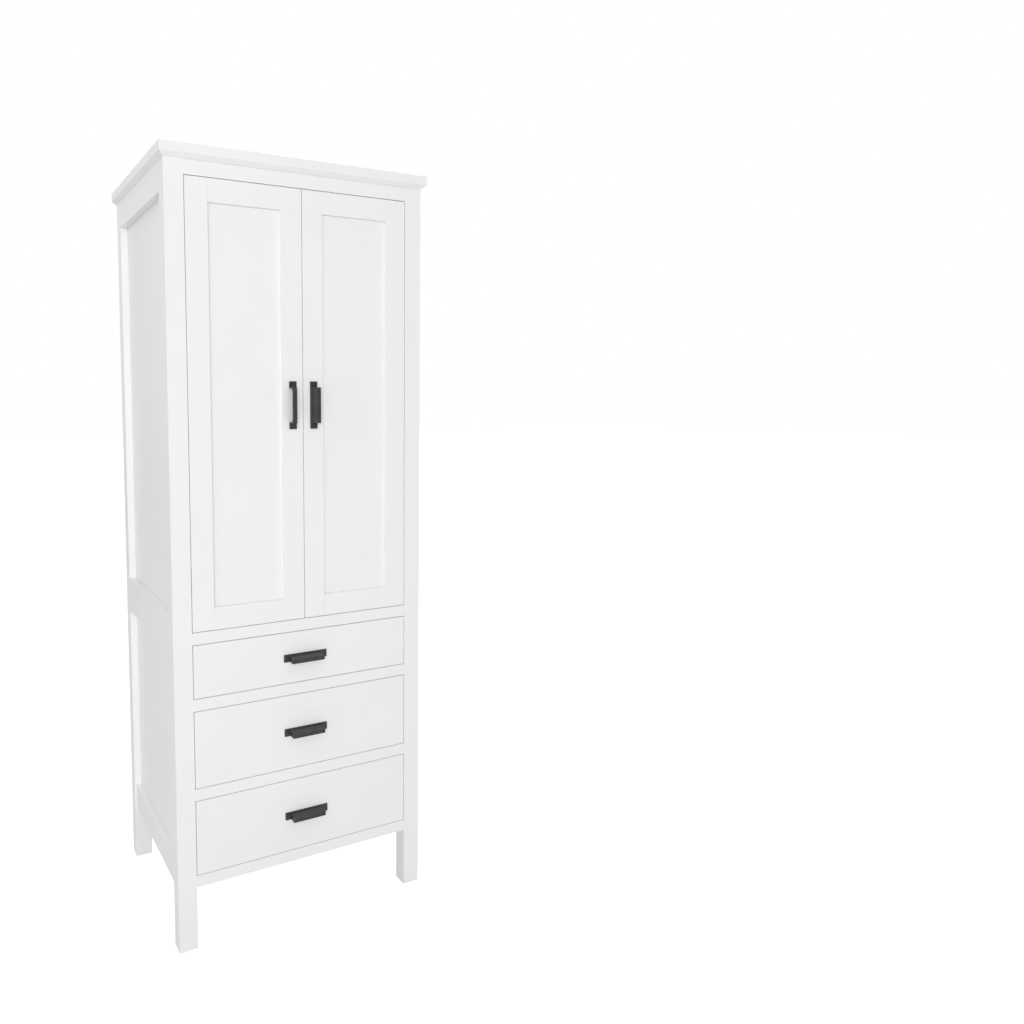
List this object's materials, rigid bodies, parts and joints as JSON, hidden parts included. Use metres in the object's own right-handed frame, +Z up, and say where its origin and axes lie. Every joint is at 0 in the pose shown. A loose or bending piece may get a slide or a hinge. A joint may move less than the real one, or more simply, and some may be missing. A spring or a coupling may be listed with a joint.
{
  "type": "armoire",
  "caption": "Tall white armoire with inset panelled doors over inset drawers, square legs, a bevelled top board and dark hooded pulls, for storing clothes or linen.",
  "frame": {"origin": "on the floor, at the middle of the bounding box", "axes": "+Z up, +Y to the back, +X to the right seen from the front"},
  "size_m": [0.667, 0.531, 1.83],
  "materials": {
    "white_paint": "satin sprayed paint",
    "birch": "clear satin lacquer",
    "bright_steel": "zinc plated",
    "dark_metal": "dark gunmetal, satin"
  },
  "bodies": {
    "carcass": {"top_board": "white_paint", "front_left_leg": "white_paint", "front_right_leg": "white_paint", "back_left_leg": "white_paint", "back_right_leg": "white_paint", "top_front_rail": "white_paint", "door_rail": "white_paint", "upper_drawer_rail": "white_paint", "lower_drawer_rail": "white_paint", "bottom_front_rail": "white_paint", "left_top_rail": "white_paint", "left_middle_rail": "white_paint", "left_bottom_rail": "white_paint", "right_top_rail": "white_paint", "right_middle_rail": "white_paint", "right_bottom_rail": "white_paint", "left_upper_panel": "white_paint", "left_lower_panel": "white_paint", "right_upper_panel": "white_paint", "right_lower_panel": "white_paint", "back_top_rail": "white_paint", "back_bottom_rail": "white_paint", "back_panel": "white_paint", "compartment_floor": "white_paint", "bottom_panel": "white_paint", "upper_shelf": "white_paint", "lower_shelf": "white_paint", "shelf_pins": "bright_steel", "slide_cleats": "birch", "frame_slide_members": "bright_steel", "leg_hinge_bodies": "bright_steel"},
    "left_door": {"left_door_hinge_stile": "white_paint", "left_door_meeting_stile": "white_paint", "left_door_rails": "white_paint", "left_door_panel": "white_paint", "left_door_pull": "dark_metal", "left_door_hinge_bodies": "bright_steel"},
    "left_leaves": {"left_hinge_leaves": "bright_steel"},
    "right_door": {"right_door_hinge_stile": "white_paint", "right_door_meeting_stile": "white_paint", "right_door_rails": "white_paint", "right_door_panel": "white_paint", "right_door_pull": "dark_metal", "right_door_hinge_bodies": "bright_steel"},
    "right_leaves": {"right_hinge_leaves": "bright_steel"},
    "upper_drawer": {"upper_drawer_front": "white_paint", "upper_drawer_box": "birch", "upper_drawer_pull": "dark_metal", "upper_drawer_slide_members": "bright_steel"},
    "upper_middle_slides": {"upper_middle_slide_members": "bright_steel"},
    "middle_drawer": {"middle_drawer_front": "white_paint", "middle_drawer_box": "birch", "middle_drawer_pull": "dark_metal", "middle_drawer_slide_members": "bright_steel"},
    "middle_middle_slides": {"middle_middle_slide_members": "bright_steel"},
    "lower_drawer": {"lower_drawer_front": "white_paint", "lower_drawer_box": "birch", "lower_drawer_pull": "dark_metal", "lower_drawer_slide_members": "bright_steel"},
    "lower_middle_slides": {"lower_middle_slide_members": "bright_steel"}
  },
  "joints": [
    {"name": "left_door_hinge", "type": "hinge", "parent": "carcass", "child": "left_door", "pos_m": [-0.27775, -0.2425, 1.2595], "axis": [0, 0, -1], "range_deg": [0, 100]},
    {"name": "left_leaf_turn", "type": "hinge", "parent": "carcass", "child": "left_leaves", "pos_m": [-0.27775, -0.2425, 1.2595], "axis": [0, 0, -1], "range_deg": [0, 50]},
    {"name": "right_door_hinge", "type": "hinge", "parent": "carcass", "child": "right_door", "pos_m": [0.27775, -0.2425, 1.2595], "axis": [0, 0, 1], "range_deg": [0, 100]},
    {"name": "right_leaf_turn", "type": "hinge", "parent": "carcass", "child": "right_leaves", "pos_m": [0.27775, -0.2425, 1.2595], "axis": [0, 0, 1], "range_deg": [0, 50]},
    {"name": "upper_drawer_slide", "type": "slide", "parent": "carcass", "child": "upper_drawer", "axis": [0, -1, 0], "range_m": [0, 0.4]},
    {"name": "upper_middle_slide", "type": "slide", "parent": "carcass", "child": "upper_middle_slides", "axis": [0, -1, 0], "range_m": [0, 0.2]},
    {"name": "middle_drawer_slide", "type": "slide", "parent": "carcass", "child": "middle_drawer", "axis": [0, -1, 0], "range_m": [0, 0.4]},
    {"name": "middle_middle_slide", "type": "slide", "parent": "carcass", "child": "middle_middle_slides", "axis": [0, -1, 0], "range_m": [0, 0.2]},
    {"name": "lower_drawer_slide", "type": "slide", "parent": "carcass", "child": "lower_drawer", "axis": [0, -1, 0], "range_m": [0, 0.4]},
    {"name": "lower_middle_slide", "type": "slide", "parent": "carcass", "child": "lower_middle_slides", "axis": [0, -1, 0], "range_m": [0, 0.2]}
  ],
  "couplings": [
    {"joint": "left_leaf_turn", "follows": "left_door_hinge", "ratio": 0.5},
    {"joint": "right_leaf_turn", "follows": "right_door_hinge", "ratio": 0.5},
    {"joint": "upper_middle_slide", "follows": "upper_drawer_slide", "ratio": 0.5},
    {"joint": "middle_middle_slide", "follows": "middle_drawer_slide", "ratio": 0.5},
    {"joint": "lower_middle_slide", "follows": "lower_drawer_slide", "ratio": 0.5}
  ]
}
